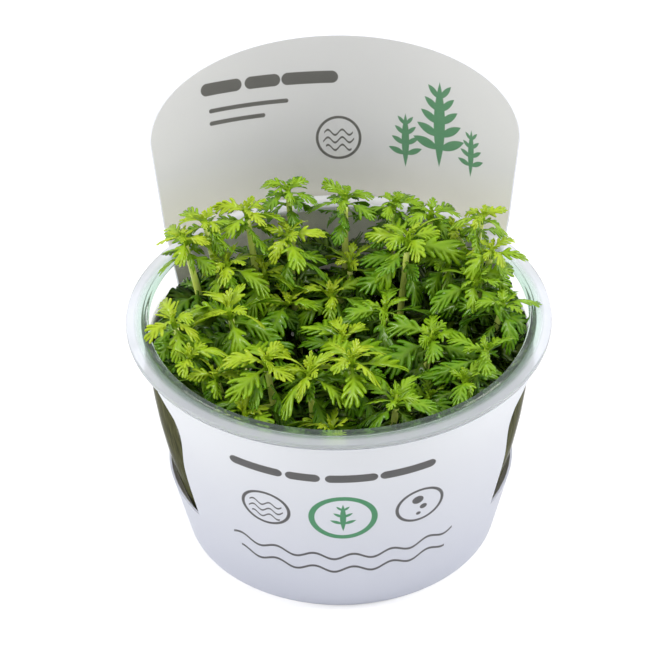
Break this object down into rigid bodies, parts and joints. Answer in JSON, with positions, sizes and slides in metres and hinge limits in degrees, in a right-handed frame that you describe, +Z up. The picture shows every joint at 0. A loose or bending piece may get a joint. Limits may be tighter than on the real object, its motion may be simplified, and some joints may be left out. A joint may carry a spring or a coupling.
{
  "type": "cup of water violet plantlets",
  "caption": "Clear round cup with a wide flange and a printed sleeve whose tab stands up behind, planted with young feathery-leaved water violet shoots.",
  "frame": {"origin": "middle of the cup's base, on the surface that it stands on", "axes": "+Z up, -Y to the front of the sleeve, +Y to its tall tab"},
  "size_m": [0.101, 0.111, 0.0993],
  "materials": {
    "clear_plastic": "glossy, slightly milky",
    "printed_film": "satin sheet with plain print",
    "gel": "moist, pale and cloudy",
    "stem": "smooth, pale yellow-green",
    "leaf": "waxy, fresh green"
  },
  "bodies": {
    "root": {"cup": "clear_plastic", "label_sleeve": "printed_film", "growing_gel": "gel", "stem_01": "stem", "leafy_top_01": "leaf", "stem_02": "stem", "leafy_top_02": "leaf", "stem_03": "stem", "leafy_top_03": "leaf", "stem_04": "stem", "leafy_top_04": "leaf", "stem_05": "stem", "leafy_top_05": "leaf", "stem_06": "stem", "leafy_top_06": "leaf", "stem_07": "stem", "leafy_top_07": "leaf", "stem_08": "stem", "leafy_top_08": "leaf", "stem_09": "stem", "leafy_top_09": "leaf", "stem_10": "stem", "leafy_top_10": "leaf", "stem_11": "stem", "leafy_top_11": "leaf", "stem_12": "stem", "leafy_top_12": "leaf", "stem_13": "stem", "leafy_top_13": "leaf", "stem_14": "stem", "leafy_top_14": "leaf", "stem_15": "stem", "leafy_top_15": "leaf", "stem_16": "stem", "leafy_top_16": "leaf", "stem_17": "stem", "leafy_top_17": "leaf", "stem_18": "stem", "leafy_top_18": "leaf", "stem_19": "stem", "leafy_top_19": "leaf", "stem_20": "stem", "leafy_top_20": "leaf", "stem_21": "stem", "leafy_top_21": "leaf", "stem_22": "stem", "leafy_top_22": "leaf", "stem_23": "stem", "leafy_top_23": "leaf", "stem_24": "stem", "leafy_top_24": "leaf", "stem_25": "stem", "leafy_top_25": "leaf", "stem_26": "stem", "leafy_top_26": "leaf", "stem_27": "stem", "leafy_top_27": "leaf", "stem_28": "stem", "leafy_top_28": "leaf"}
  },
  "joints": []
}
